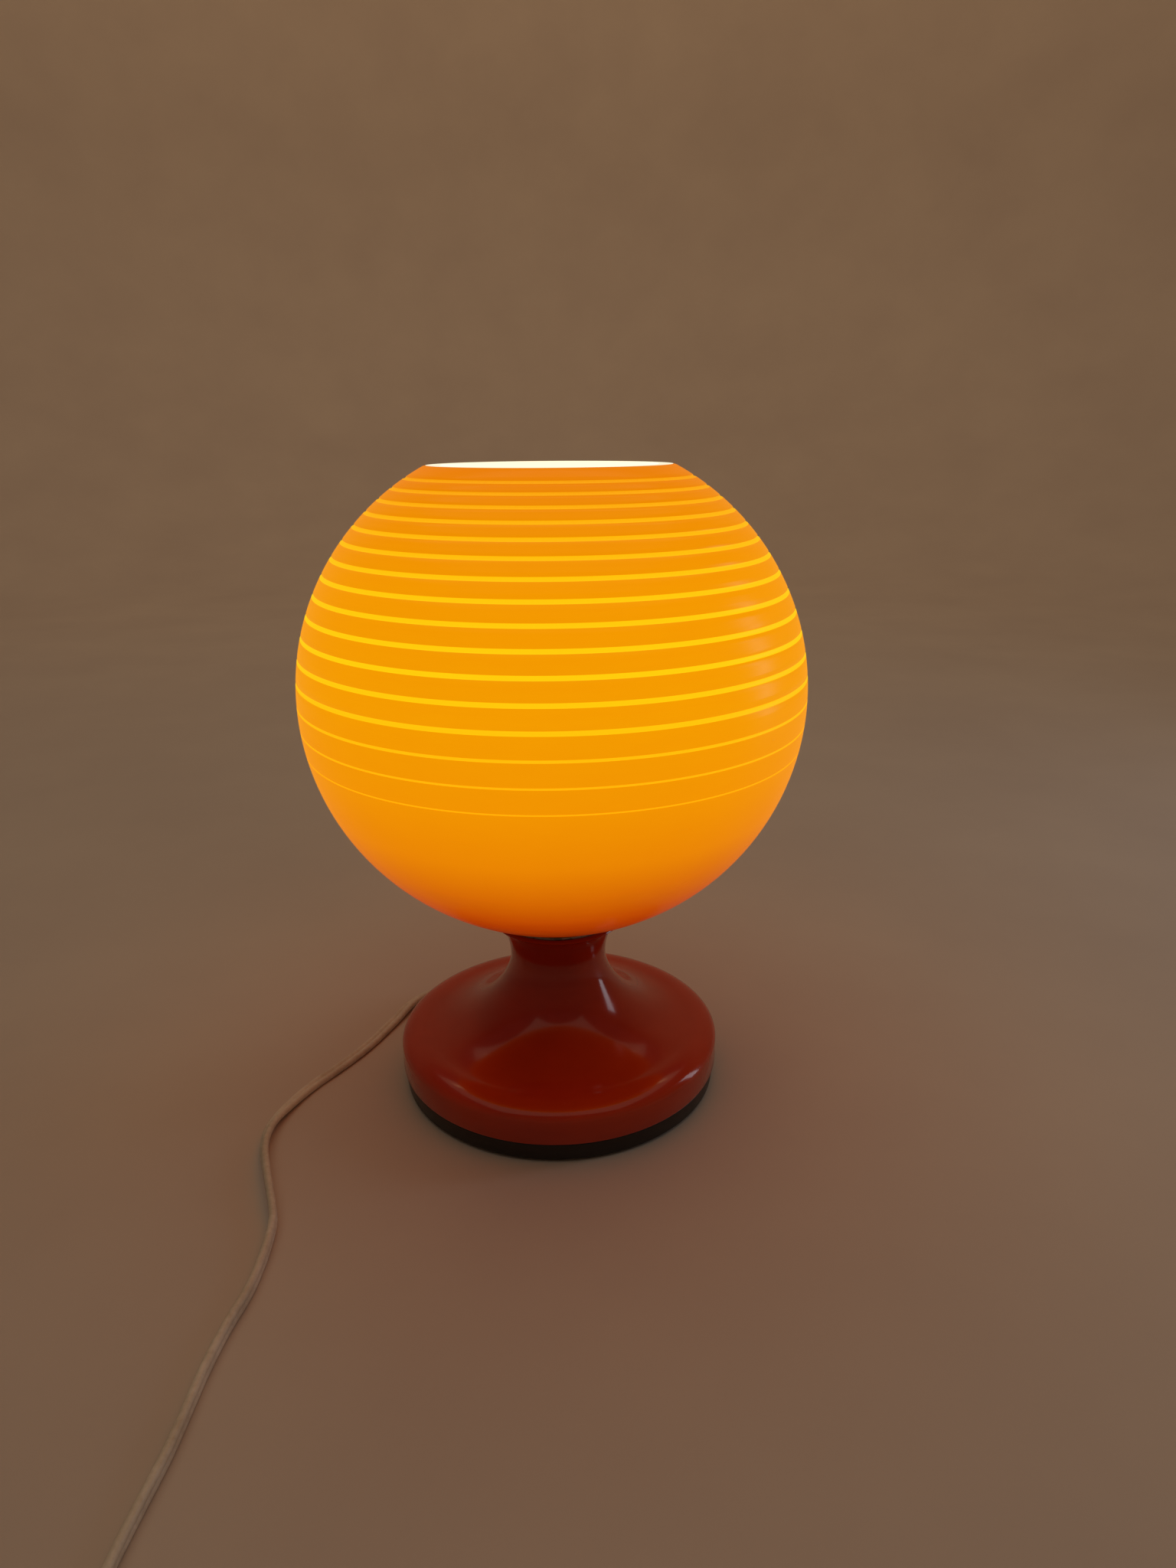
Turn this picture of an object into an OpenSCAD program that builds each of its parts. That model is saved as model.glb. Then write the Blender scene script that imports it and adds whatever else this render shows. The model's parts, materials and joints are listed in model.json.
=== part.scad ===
// Table lamp: a blown glass globe on a waisted glass foot, with an in-line switch and a flat plug.
// Millimetres, +Z up. The origin is the centre of the foot on the table; -Y is the front.

/* [Globe shade] */
// Greatest radius of the globe
globe_r = 105; // [95:1:115]
// Height of the globe against its width
globe_squash = 0.982; // [0.96:0.002:1]
// Height of the globe's centre above the table
globe_z = 183; // [181:1:186]
// Thickness of the blown glass
globe_wall = 3; // [2.5:0.25:3.5]
// Outer radius of the open mouth
mouth_r = 49.2; // [44:0.2:54]
// Depth of the lines cut through the colour
line_depth = 0.25; // [0.1:0.05:0.4]

/* [Glass foot] */
// Radius of the drum
drum_r = 73; // [70:1:78]
// Height where the drum's straight side ends
drum_top_z = 20; // [18:1:24]
// Radius of the circle where the shoulder turns into the dish
crest_r = 61; // [58:1:64]
// Height of the shoulder's crest
crest_z = 26; // [24:1:30]
// Radius of the waist
waist_r = 21.6; // [21:0.2:24]
// Height of the waist
waist_z = 60; // [56:1:63]
// Outer radius of the cup on top of the neck
cup_r = 30; // [28:0.5:32]
// Height of the cup's flat lip
cup_z = 79; // [79:0.5:80]
// Thickness of the foot's glass
foot_wall = 4; // [3.5:0.25:4.5]

/* [Foot ring] */
// Outer radius of the black ring where the glass stands on it
ring_top_r = 72.4; // [71:0.2:73]
// Outer radius of the ring at its lower edge
ring_low_r = 70.6; // [69:0.2:71]
// Height of the ring's seat for the glass
ring_seat_z = 9.3; // [9:0.1:10]

/* [Flex] */
// Width of the flat twin flex
flex_w = 5.4; // [5:0.1:5.8]
// Thickness of the flat twin flex
flex_t = 3; // [2.8:0.1:3.2]

/* [Hidden] */

$fn = 96;
eps = 0.01;

// --- globe shade -------------------------------------------------------------------------------
hole_r = 21;                                   // hole that passes the lampholder
hole_low_z = 82.3;                             // ground seat under the hole
hole_high_z = 86;                              // ground seat inside the hole
line_count = 16;
line_widths = concat([for (k = [0 : 12]) 1.8], [1.1, 0.8, 0.6]);
inner_r = globe_r - globe_wall;
inner_b = globe_r * globe_squash - globe_wall;

function outer_point(t, cut) = [(globe_r - cut) * cos(t), globe_z + (globe_r * globe_squash - cut) * sin(t)];
function inner_point(t) = [inner_r * cos(t), globe_z + inner_b * sin(t)];
function outer_angle(r) = acos(r / globe_r);
function line_angle(k) = 57.1 - 3.45 * k - 0.07 * k * k;
function half_line(k) = line_widths[k] / globe_r * 90 / PI;

mouth_z = outer_point(outer_angle(mouth_r), 0).y;
mouth_inner_t = asin((mouth_z - globe_z) / inner_b);
seat_low_t = -asin((globe_z - hole_low_z) / (globe_r * globe_squash));
seat_high_t = -asin((globe_z - hole_high_z) / inner_b);

module shade() {
    last = line_count - 1;
    low_start = line_angle(last) - half_line(last);
    below = [for (i = [0 : 23]) outer_point(seat_low_t + i * (low_start - seat_low_t) / 24, 0)];
    lined = [for (k = [last : -1 : 0]) let (t = line_angle(k), h = half_line(k))
             each [outer_point(t - h, 0), outer_point(t - h, line_depth),
                   outer_point(t + h, line_depth), outer_point(t + h, 0),
                   outer_point(k > 0 ? (t + line_angle(k - 1)) / 2 : t + 2, 0)]];
    inside = [for (i = [0 : 48]) inner_point(mouth_inner_t + i * (seat_high_t - mouth_inner_t) / 48)];
    color("orange")
        rotate_extrude()
            polygon(concat([[hole_r, hole_low_z]], below, lined, [[mouth_r, mouth_z]], inside,
                           [[hole_r, hole_high_z]]));
}

// --- glass foot --------------------------------------------------------------------------------
dish_power = 1.7;                              // 2 is an ellipse, less is straighter
cup_rise = 18;

function quarter(power, t) = [pow(cos(t), 2 / power), pow(sin(t), 2 / power)];
function shoulder(wall, t) = [crest_r + (drum_r - crest_r - wall) * cos(t),
                              drum_top_z + (crest_z - drum_top_z - wall + 0.4 * sign(wall)) * sin(t)];
function dish(wall, t) = let (q = quarter(dish_power, t))
    [crest_r - (crest_r - waist_r + wall) * q.x, waist_z - (waist_z - crest_z + wall - 0.4 * sign(wall)) * q.y];
function cup(t) = [cup_r - (cup_r - waist_r) * cos(t), waist_z + cup_rise * sin(t)];

module base_body() {
    steps = 14;
    color("orangered")
        rotate_extrude()
            polygon(concat(
                [[drum_r - 1, ring_seat_z], [drum_r, ring_seat_z + 1]],
                [for (i = [0 : steps]) shoulder(0, 90 * i / steps)],
                [for (i = [1 : 2 * steps]) dish(0, 90 - 45 * i / steps)],
                [for (i = [1 : steps]) cup(84 * i / steps)],
                [[cup_r - 0.4, cup_z - 0.5], [cup_r - 1.2, cup_z], [waist_r - foot_wall, cup_z]],
                [for (i = [2 * steps : -1 : 1]) dish(foot_wall, 90 - 45 * i / steps)],
                [for (i = [steps : -1 : 0]) shoulder(foot_wall, 90 * i / steps)],
                [[drum_r - foot_wall, ring_seat_z]]));
}

// --- black foot ring and its plate -------------------------------------------------------------
plate_z = 6;
plate_t = 1.2;
plate_r = 64.2;
plate_top = plate_z + plate_t;
ledge_r = 58;
ring_gap = 0.8;                                // the ring stands clear of the table on its pads
pad_r = 5;
pad_circle_r = 64.4;
exit_turn = 125;                               // direction of the flex outlet about Z
exit_z = 4.3;
notch_w = 8.6;

module foot_pad_places() {
    for (a = [45 : 90 : 315]) rotate([0, 0, a]) translate([pad_circle_r, 0, 0]) children();
}

module foot_ring() {
    color([0.07, 0.07, 0.08])
        difference() {
            rotate_extrude()
                polygon([[ledge_r, ring_gap], [ring_low_r, ring_gap], [ring_low_r + 0.9, ring_gap + 0.9],
                         [ring_top_r, ring_seat_z - 0.5], [ring_top_r - 0.5, ring_seat_z],
                         [68.4, ring_seat_z], [68.4, 13], [64.4, 13], [64.4, plate_z], [ledge_r, plate_z]]);
            foot_pad_places() translate([0, 0, -1]) cylinder(r = pad_r + 0.2, h = 3);
            rotate([0, 0, exit_turn])
                translate([ledge_r - 2, -notch_w / 2, -1]) cube([20, notch_w, 8.6]);
        }
}

module foot_pads() {
    color("dimgray")
        foot_pad_places() cylinder(r = pad_r, h = 1.8);
}

grip_ring_r = 38;                              // distance of the cord grip from the axis
grip_screw_y = 7;

module grip_screw_places() {
    rotate([0, 0, exit_turn])
        for (side = [-1, 1]) translate([grip_ring_r, side * grip_screw_y, 0]) children();
}

module bottom_plate() {
    color("silver")
        difference() {
            translate([0, 0, plate_z]) cylinder(r = plate_r, h = plate_t);
            translate([0, 0, plate_z - 1]) cylinder(r = 5.2, h = 4);
            grip_screw_places() translate([0, 0, plate_z - 1]) cylinder(r = 1.5, h = 4);
            rotate([0, 0, exit_turn]) translate([41.5, -4.5, plate_z - 1]) cube([30, 9, 4]);
        }
}

// --- central tube, nuts, washers, seat disc, gaskets -------------------------------------------
tube_r = 5;
tube_bore_r = 3.75;
tube_low_z = 1.6;
tube_top_z = 90;
core_z = 16;                                   // height where the cores enter the tube
washer_t = 1;
nut_t = 3;
seat_t = 1.2;
seat_top = cup_z + seat_t;

module threaded_tube() {
    color("goldenrod")
        difference() {
            translate([0, 0, tube_low_z]) cylinder(r = tube_r, h = tube_top_z - tube_low_z);
            translate([0, 0, tube_low_z - 1])
                cylinder(r = tube_bore_r, h = tube_top_z - tube_low_z + 2);
            rotate([0, 0, exit_turn]) translate([0, 0, core_z]) rotate([0, 90, 0])
                cylinder(r = 2.8, h = 8);
        }
}

module washer(z) {
    translate([0, 0, z])
        difference() {
            cylinder(r = 9, h = washer_t);
            translate([0, 0, -1]) cylinder(r = tube_r + 0.1, h = washer_t + 2);
        }
}

module nut(z) {
    translate([0, 0, z])
        difference() {
            cylinder(r = 8, h = nut_t, $fn = 6);
            translate([0, 0, -1]) cylinder(r = tube_r + 0.05, h = nut_t + 2);
        }
}

module tube_washers() {
    color("silver") {
        washer(plate_z - washer_t);
        washer(seat_top);
    }
}

module tube_nuts() {
    color("gold") {
        nut(plate_z - washer_t - nut_t);
        nut(seat_top + washer_t);
    }
}

module flat_ring(outer, inner, z, h) {
    translate([0, 0, z])
        difference() {
            cylinder(r = outer, h = h);
            translate([0, 0, -1]) cylinder(r = inner, h = h + 2);
        }
}

module seat_disc() {
    color("silver") flat_ring(27, tube_r + 0.2, cup_z, seat_t);
}

module lower_gasket() {
    color("gray") flat_ring(25.5, 20.4, seat_top, hole_low_z - 0.3 - seat_top);
}

gasket_t = 1.5;
gasket_z = hole_high_z + 0.3;
clamp_z = gasket_z + gasket_t + 0.3;

module upper_gasket() {
    color("gray") flat_ring(25, 20.5, gasket_z, gasket_t);
}

module shade_ring() {
    color("ivory")
        difference() {
            union() {
                flat_ring(28, 20.3, clamp_z, 2.8);
                flat_ring(23.6, 20.3, clamp_z, 9);
            }
            for (a = [0 : 30 : 330]) rotate([0, 0, a])
                translate([24.2, 0, clamp_z + 3]) cylinder(r = 1.4, h = 7);
        }
}

// --- lampholder --------------------------------------------------------------------------------
holder_z = seat_top + washer_t + nut_t + 0.2;
skirt_r = 20;
skirt_z = holder_z + 3;
skirt_top = 126;
insert_z = holder_z + 9;

module holder_cap() {
    color("ivory")
        difference() {
            union() {
                translate([0, 0, holder_z]) cylinder(r = 19.6, h = 2.8);
                flat_ring(17.4, 15.6, holder_z, 8.6);
                translate([0, 0, holder_z]) cylinder(r = 7.5, h = 5);
            }
            translate([0, 0, holder_z - 1]) cylinder(r = tube_r + 0.05, h = 12);
        }
}

module holder_skirt() {
    color("ivory")
        union() {
            flat_ring(skirt_r, 17.7, skirt_z, skirt_top - skirt_z);
            flat_ring(skirt_r, 17, skirt_top - 2, 2);
        }
}

shell_r = 14.2;
shell_inner_r = 13.45;
shell_z = insert_z + 10;

module holder_insert() {
    color("white")
        difference() {
            translate([0, 0, insert_z]) cylinder(r = 16.6, h = skirt_top - 2.5 - insert_z);
            translate([0, 0, shell_z - 0.2]) cylinder(r = shell_r + 0.3, h = 60);
            for (side = [-1, 1]) translate([side * 10.8, 0, insert_z - 1]) cylinder(r = 1.4, h = 20);
            translate([0, 0, insert_z + 8]) cylinder(r = 5, h = 10);
        }
}

module holder_shell() {
    color("gold")
        difference() {
            translate([0, 0, shell_z]) cylinder(r = shell_r, h = 19.6);
            translate([0, 0, shell_z + 0.6]) cylinder(r = shell_inner_r, h = 30);
            translate([0, 0, shell_z - 1]) cylinder(r = 8, h = 4);
        }
}

contact_z = shell_z + 2.4;                     // where the bulb's own contact rests

module centre_contact() {
    color("gold")
        union() {
            translate([0, 0, insert_z + 8]) cylinder(r = 1.6, h = contact_z - insert_z - 8.6);
            translate([0, 0, contact_z - 1.2]) cylinder(r = 3.2, h = 1);
        }
}

block_x = 11;

module terminal_blocks() {
    color("gold")
        for (side = [-1, 1]) translate([side * block_x, 0, insert_z - 3])
            difference() {
                translate([-2.6, -3, -2.2]) cube([5.2, 6, 5]);
                rotate([0, 90, 0]) translate([0, 0, -4]) cylinder(r = 1.3, h = 8);
                translate([0, -4, 1.4]) rotate([-90, 0, 0]) cylinder(r = 0.9, h = 3.5);
            }
}

module terminal_screws() {
    color("silver")
        for (side = [-1, 1]) translate([side * block_x, 0, insert_z - 3 + 1.4]) {
            translate([0, -4.6, 0]) rotate([-90, 0, 0]) cylinder(r = 0.85, h = 4);
            translate([0, -5.6, 0]) rotate([-90, 0, 0]) cylinder(r = 1.2, h = 1.2);
        }
}

// --- bulb --------------------------------------------------------------------------------------
bulb_z = contact_z;
bulb_r = 30;
bulb_top = bulb_z + 105;
bulb_ball_z = bulb_top - bulb_r;
bulb_neck_r = 12.2;
bulb_low_z = bulb_z + 9;
neck_turn = -38;                               // where the ball leaves for the neck

function bulb_side(wall) = concat(
    [[0, bulb_top - wall]],
    [for (i = [1 : 16]) let (t = 90 - i * (90 - neck_turn) / 16)
     [(bulb_r - wall) * cos(t), bulb_ball_z + (bulb_r - wall) * sin(t)]],
    [for (i = [1 : 8]) let (u = i / 8, s = 1 - u, r0 = (bulb_r - wall) * cos(neck_turn),
                            z0 = bulb_ball_z + (bulb_r - wall) * sin(neck_turn),
                            pull = 16, r1 = bulb_neck_r - wall, z1 = bulb_z + 26)
     [s * s * s * r0 + 3 * s * s * u * (r0 + pull * sin(neck_turn))
      + 3 * s * u * u * r1 + u * u * u * r1,
      s * s * s * z0 + 3 * s * s * u * (z0 - pull * cos(neck_turn))
      + 3 * s * u * u * (z1 + pull) + u * u * u * z1]],
    [[bulb_neck_r - wall, bulb_low_z + 2 * wall]]);

module bulb_glass() {
    wall = 0.7;
    inner = bulb_side(wall);
    last = len(inner) - 1;
    color("white")
        rotate_extrude()
            polygon(concat([[0, bulb_top]], [for (i = [1 : len(bulb_side(0)) - 2]) bulb_side(0)[i]],
                           [[bulb_neck_r, bulb_low_z], [0, bulb_low_z], [0, bulb_low_z + 2 * wall]],
                           [for (i = [last : -1 : 0]) inner[i]]));
}

module bulb_cap() {
    color("silver")
        difference() {
            translate([0, 0, bulb_z + 3.6]) cylinder(r = 13.05, h = 22);
            translate([0, 0, bulb_z + 5]) cylinder(r = 12.5, h = 30);
            translate([0, 0, bulb_z]) cylinder(r = 9.4, h = 6);
        }
}

module bulb_insulator() {
    color([0.1, 0.1, 0.12])
        translate([0, 0, bulb_z + 1.1]) cylinder(r1 = 6, r2 = 9.2, h = 4);
}

module bulb_contact() {
    color("silver") translate([0, 0, bulb_z]) cylinder(r1 = 3, r2 = 4.2, h = 1.1);
}

stem_low = bulb_low_z + 1.5;

module bulb_stem() {
    color("lightgray")
        translate([0, 0, stem_low])
            union() {
                cylinder(r1 = 8, r2 = 3, h = 10);
                cylinder(r = 3, h = 34);
                translate([0, 0, 34]) cylinder(r = 1.2, h = 12);
            }
}

filament_z = stem_low + 50;
filament_half = 12;

module bulb_leads() {
    color("silver")
        for (side = [-1, 1])
            rod([side * 3.6, 0, stem_low + 10], [side * filament_half, 0, filament_z], 0.4);
}

module bulb_filament() {
    color("gold")
        rod([-filament_half + 0.6, 0, filament_z], [filament_half - 0.6, 0, filament_z], 0.6);
}

// --- mains cores inside ------------------------------------------------------------------------
core_r = 1;

module rod(from, to, r) {
    run = to - from;
    len_run = norm(run);
    translate(from)
        rotate([0, acos(run.z / len_run), atan2(run.y, run.x)])
            cylinder(r = r, h = len_run, $fn = 32);
}

// along() turns a distance from the axis into a point under the flex outlet. A core runs from the cut end
// of the flex, through the tube's side hole and up to its terminal; side is -1 or 1.
function along(distance, across, z) = [distance * cos(exit_turn) - across * sin(exit_turn),
                                       distance * sin(exit_turn) + across * cos(exit_turn), z];
function core_route(side) = [
    along(33.6, -side * 1.3, plate_top + 1.6), along(26, -side * 1.8, plate_top + 4),
    along(14, -side * 1.3, core_z), along(5, -side * 1.3, core_z), along(1, -side * 1.3, core_z + 2.5),
    [side * 1.6, 0, core_z + 12], [side * 1.6, 0, tube_top_z], [side * 4, 0, tube_top_z + 1.5],
    [side * (block_x - 1), 0, insert_z - 3]];

core_outline = [for (a = [0 : 45 : 315]) [core_r * cos(a), core_r * sin(a)]];
core_over = [0.6, 0.75, -0.3];                 // no stretch of a core runs this way

module core_brown() {
    color("saddlebrown") swept(core_route(-1), 3, core_outline, core_over);
}

module core_blue() {
    color("royalblue") swept(core_route(1), 3, core_outline, core_over);
}

module cord_grip() {
    color([0.12, 0.12, 0.13])
        difference() {
            rotate([0, 0, exit_turn]) translate([grip_ring_r - 3.5, -10, plate_top]) cube([7, 20, 5]);
            rotate([0, 0, exit_turn]) translate([grip_ring_r - 5, -3.1, plate_top - 1]) cube([10, 6.2, 4.4]);
            grip_screw_places() translate([0, 0, plate_top - 1]) cylinder(r = 1.6, h = 8);
        }
}

module grip_screws() {
    color("silver")
        grip_screw_places()
            difference() {
                union() {
                    translate([0, 0, plate_z - 1.2]) cylinder(r = 1.45, h = 7.6);
                    translate([0, 0, plate_top + 5]) cylinder(r = 2.8, h = 1.9);
                }
                translate([-0.35, -4, plate_top + 6.1]) cube([0.7, 8, 2]);
            }
}

// --- flex --------------------------------------------------------------------------------------
// A stop on the route is [x, y, z, turn]. The turn is the flex's twist: 0 lies flat, 90 stands on edge.
inside_route = [for (s = [[57, 4.3], [52, 6], [47, 7.6], [42, 8.7], [34, 8.8]])
                concat(along(s[0], 0, s[1]), [0])];

lamp_route = [
    concat(along(57, 0, exit_z), [0]), concat(along(71, 0, exit_z), [0]),
    [-52.5, 66.5, 4, 15], [-67, 65, 3.4, 30], [-77, 55, 2.7, 20], [-85, 37, 1.8, 0],
    [-94, 17, 1.5, 0], [-104, 0, 1.5, 0], [-114, -15, 1.5, 0], [-121, -30, 2, 15],
    [-125, -45, 3.2, 40], [-124, -61, 4.6, 65], [-119, -77, 5.4, 85], [-114, -91, 5, 90],
    [-110, -103, 4, 90], [-109, -113, 3.2, 90], [-109, -124, 2.7, 90], [-110, -138, 2.7, 90],
    [-113, -153, 2.7, 90], [-115, -168, 2.7, 90], [-116, -183, 2.7, 90], [-117, -198, 2.7, 90],
    [-119, -213, 2.7, 90], [-121, -229, 2.7, 85], [-122, -244, 2.5, 60], [-119, -257, 2.1, 40],
    [-111, -269, 2.2, 20], [-100, -277, 3.2, 10], [-90, -280.5, 5.2, 0], [-81, -281, 6, 0],
    [-68, -281, 6, 0]];

plug_side_route = [
    [-26, -281, 6, 0], [-14, -281, 6, 0], [-5, -280.5, 5, 10], [6, -278.5, 3.2, 50], [18, -276, 2.7, 90],
    [30, -274.4, 2.7, 90]];

tail_route = [
    [30, -349.6, 8.4, 90], [20, -349.2, 8.2, 80], [10, -347.4, 7.6, 50], [1, -345, 7, 15],
    [-8, -344, 6.9, 0]];

// Two round cores side by side, as a ten-sided outline.
flex_outline = [for (side = [1, -1], a = [-90 : 45 : 90])
                [side * ((flex_w - flex_t) / 2 + flex_t / 2 * cos(a)), side * flex_t / 2 * sin(a)]];

// Catmull-Rom curve through the stops, with so many steps between two stops.
function mix_stops(a, b, c, d, u) = 0.5 * (2 * b + (c - a) * u + (2 * a - 5 * b + 4 * c - d) * u * u
                                           + (3 * b - a - 3 * c + d) * u * u * u);
function stop_at(route, i) = route[max(0, min(len(route) - 1, i))];
function smooth(route, steps) = concat(
    [for (i = [0 : len(route) - 2], k = [0 : steps - 1])
     mix_stops(stop_at(route, i - 1), route[i], route[i + 1], stop_at(route, i + 2), k / steps)],
    [route[len(route) - 1]]);
function unit(v) = v / norm(v);
function place(s) = [s[0], s[1], s[2]];
function heading(rings, i) = unit(place(stop_at(rings, i + 1)) - place(stop_at(rings, i - 1)));
function ring_points(rings, i, outline, over, grow) =
    let (ahead = heading(rings, i), side = unit(cross(over, ahead)), up = cross(ahead, side),
         turn = len(rings[i]) > 3 ? rings[i][3] : 0,
         wide = side * cos(turn) + up * sin(turn), thin = up * cos(turn) - side * sin(turn))
    [for (p = outline) place(rings[i]) + grow * (p.x * wide + p.y * thin)];

// Sweeps an outline along a route; thick is its scale at the first and at the last ring.
module swept(route, steps, outline, over = [0, 0, 1], thick = [1, 1]) {
    rings = smooth(route, steps);
    n = len(outline);
    last = len(rings) - 1;
    points = [for (i = [0 : last])
              each ring_points(rings, i, outline, over, thick[0] + (thick[1] - thick[0]) * i / last)];
    sides = [for (i = [0 : last - 1], k = [0 : n - 1]) let (next = (k + 1) % n)
             each [[i * n + k, (i + 1) * n + k, (i + 1) * n + next],
                   [i * n + k, (i + 1) * n + next, i * n + next]]];
    polyhedron(points, concat([[for (k = [0 : n - 1]) k]], sides, [[for (k = [n - 1 : -1 : 0]) last * n + k]]));
}

module swept_flex(route, steps, thick = [1, 1]) {
    swept(route, steps, flex_outline, [0, 0, 1], thick);
}

bush_route = [for (i = [1 : 3]) lamp_route[i]];

module cord_bush() {
    color([0.07, 0.07, 0.08])
        union() {
            rotate([0, 0, exit_turn]) translate([ledge_r + 1, -notch_w / 2 + 0.2, 1.2])
                cube([15.6, notch_w - 0.4, 6]);
            swept_flex(bush_route, 4, [1.3, 1.08]);
        }
}

module flex_inside() {
    color("white") swept_flex([for (i = [4 : -1 : 0]) inside_route[i]], 2);
}

module flex_lamp_side() {
    color("white") swept_flex(lamp_route, 2);
}

module flex_plug_side() {
    color("white") swept_flex(plug_side_route, 2);
}

coil_x = 30;
coil_y = -312;
coil_mid_r = 32;                               // middle of the turns
coil_half_w = 8.6;
coil_h = 11.2;

module flex_coil() {
    color("white")
        translate([coil_x, coil_y, 0])
            flat_ring(coil_mid_r + coil_half_w, coil_mid_r - coil_half_w, 0, coil_h);
}

module coil_tie() {
    color([0.1, 0.1, 0.1])
        translate([coil_x + coil_mid_r, coil_y, 0])
            difference() {
                translate([-coil_half_w - 1.4, -2.5, 0]) cube([2 * coil_half_w + 2.8, 5, coil_h + 1.2]);
                translate([-coil_half_w - 0.4, -3, -1]) cube([2 * coil_half_w + 0.8, 6, coil_h + 1]);
            }
}

module flex_tail() {
    color("white") swept_flex(tail_route, 2);
}

// --- in-line switch ----------------------------------------------------------------------------
switch_x = -47;
switch_y = -281;
switch_len = 66;
switch_w = 26;
switch_base_h = 6;
switch_top = 18.6;
switch_wall = 1.8;
pin_z = 14.6;
rocker_half_w = 5;
rocker_tilt = 8;

module rounded_slab(len, w, h, r) {
    union() {
        translate([-len / 2 + r, -w / 2, 0]) cube([len - 2 * r, w, h]);
        translate([-len / 2, -w / 2 + r, 0]) cube([len, w - 2 * r, h]);
        for (x = [-1, 1], y = [-1, 1])
            translate([x * (len / 2 - r), y * (w / 2 - r), 0]) cylinder(r = r, h = h);
    }
}

module flex_slots() {
    for (side = [-1, 1]) translate([side * switch_len / 2 - 4, -3.1, switch_base_h - 1.9]) cube([8, 6.2, 3.8]);
}

module at_switch() {
    translate([switch_x, switch_y, 0]) children();
}

module switch_screw_places() {
    for (x = [-1, 1]) translate([x * 21.5, x * 6.5, 0]) children();
}

module switch_base() {
    color("white")
        at_switch()
            difference() {
                rounded_slab(switch_len, switch_w, switch_base_h, 10);
                translate([0, 0, switch_wall])
                    rounded_slab(switch_len - 2 * switch_wall, switch_w - 2 * switch_wall, 20, 10 - switch_wall);
                switch_screw_places() translate([0, 0, -1]) cylinder(r = 1.6, h = 4);
                flex_slots();
            }
}

module switch_cover() {
    color("white")
        at_switch()
            difference() {
                union() {
                    difference() {
                        translate([0, 0, switch_base_h])
                            rounded_slab(switch_len, switch_w, switch_top - switch_base_h, 10);
                        translate([0, 0, switch_base_h - 10])
                            rounded_slab(switch_len - 2 * switch_wall, switch_w - 2 * switch_wall,
                                         switch_top - switch_base_h - switch_wall + 10, 10 - switch_wall);
                    }
                    for (y = [-7.4, 5.4]) translate([-3, y, pin_z - 2.4]) cube([6, 2, 5]);
                    switch_screw_places() translate([0, 0, switch_base_h]) cylinder(r = 3, h = 11);
                }
                translate([-10.9, -5.4, switch_base_h]) cube([21.8, 10.8, 20]);
                translate([0, -9, pin_z]) rotate([-90, 0, 0]) cylinder(r = 1.05, h = 18);
                switch_screw_places() translate([0, 0, 0]) cylinder(r = 1.3, h = 14);
                flex_slots();
            }
}

module switch_rocker() {
    color([0.85, 0.85, 0.83])
        at_switch()
            translate([0, 0, pin_z])
                rotate([0, -rocker_tilt, 0])
                    difference() {
                        rotate([90, 0, 0])
                            translate([0, 0, -rocker_half_w])
                                linear_extrude(2 * rocker_half_w)
                                    polygon([[-9, 0.6], [-5, -2], [5, -2], [9, 0.6], [9.6, 5.2], [5, 4.3],
                                             [0, 3.9], [-5, 4.3], [-9.6, 5.2]]);
                        translate([0, -9, 0]) rotate([-90, 0, 0]) cylinder(r = 1.05, h = 18);
                    }
}

module rocker_pin() {
    color("silver")
        at_switch() translate([0, -7.2, pin_z]) rotate([-90, 0, 0]) cylinder(r = 1, h = 14.4);
}

module switch_contacts() {
    color("gold")
        at_switch()
            for (side = [-1, 1]) translate([side * 9, 0, switch_wall])
                union() {
                    translate([-5, -3, 0]) cube([10, 6, 0.8]);
                    translate([-1, -3, 0]) cube([2, 6, 5.4]);
                }
}

module switch_screws() {
    color("silver")
        at_switch()
            switch_screw_places()
                difference() {
                    union() {
                        translate([0, 0, 1]) cylinder(r = 1.25, h = 11);
                        translate([0, 0, 0.6]) cylinder(r = 1.5, h = 1);
                    }
                    translate([-0.3, -3, 0]) cube([0.6, 6, 1]);
                }
}

// --- plug --------------------------------------------------------------------------------------
plug_x = -8;                                   // where the flex enters
plug_y = -344;
plug_z = 6.9;
plug_t = 13.6;
pin_len = 19;
pin_pitch = 18.6;
pin_r = 2;

module plug_body() {
    color("white")
        translate([plug_x, plug_y, plug_z])
            intersection() {
                translate([0, 0, -plug_t / 2])
                    linear_extrude(plug_t)
                        polygon([[3, -4.2], [3, 4.2], [-6, 6], [-14, 16], [-17, 17.6], [-30, 17.6], [-32, 16.6],
                                 [-36, 13.4], [-36, -13.4], [-32, -16.6], [-30, -17.6], [-17, -17.6],
                                 [-14, -16], [-6, -6]]);
                translate([0, 20, 0]) rotate([90, 0, 0])
                    linear_extrude(40)
                        polygon([[3, -3.2], [3, 3.2], [-4, 4.2], [-12, plug_t / 2], [-34, plug_t / 2],
                                 [-36, plug_t / 2 - 1.4], [-36, -plug_t / 2 + 1.4], [-34, -plug_t / 2],
                                 [-12, -plug_t / 2], [-4, -4.2]]);
            }
}

module plug_pins() {
    color("silver")
        for (side = [-1, 1])
            translate([plug_x - 36, plug_y + side * pin_pitch / 2, plug_z])
                rotate([0, -90, 0]) {
                    cylinder(r = pin_r, h = pin_len - 1);
                    translate([0, 0, pin_len - 1]) cylinder(r1 = pin_r, r2 = pin_r - 0.9, h = 1);
                }
}

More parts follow.
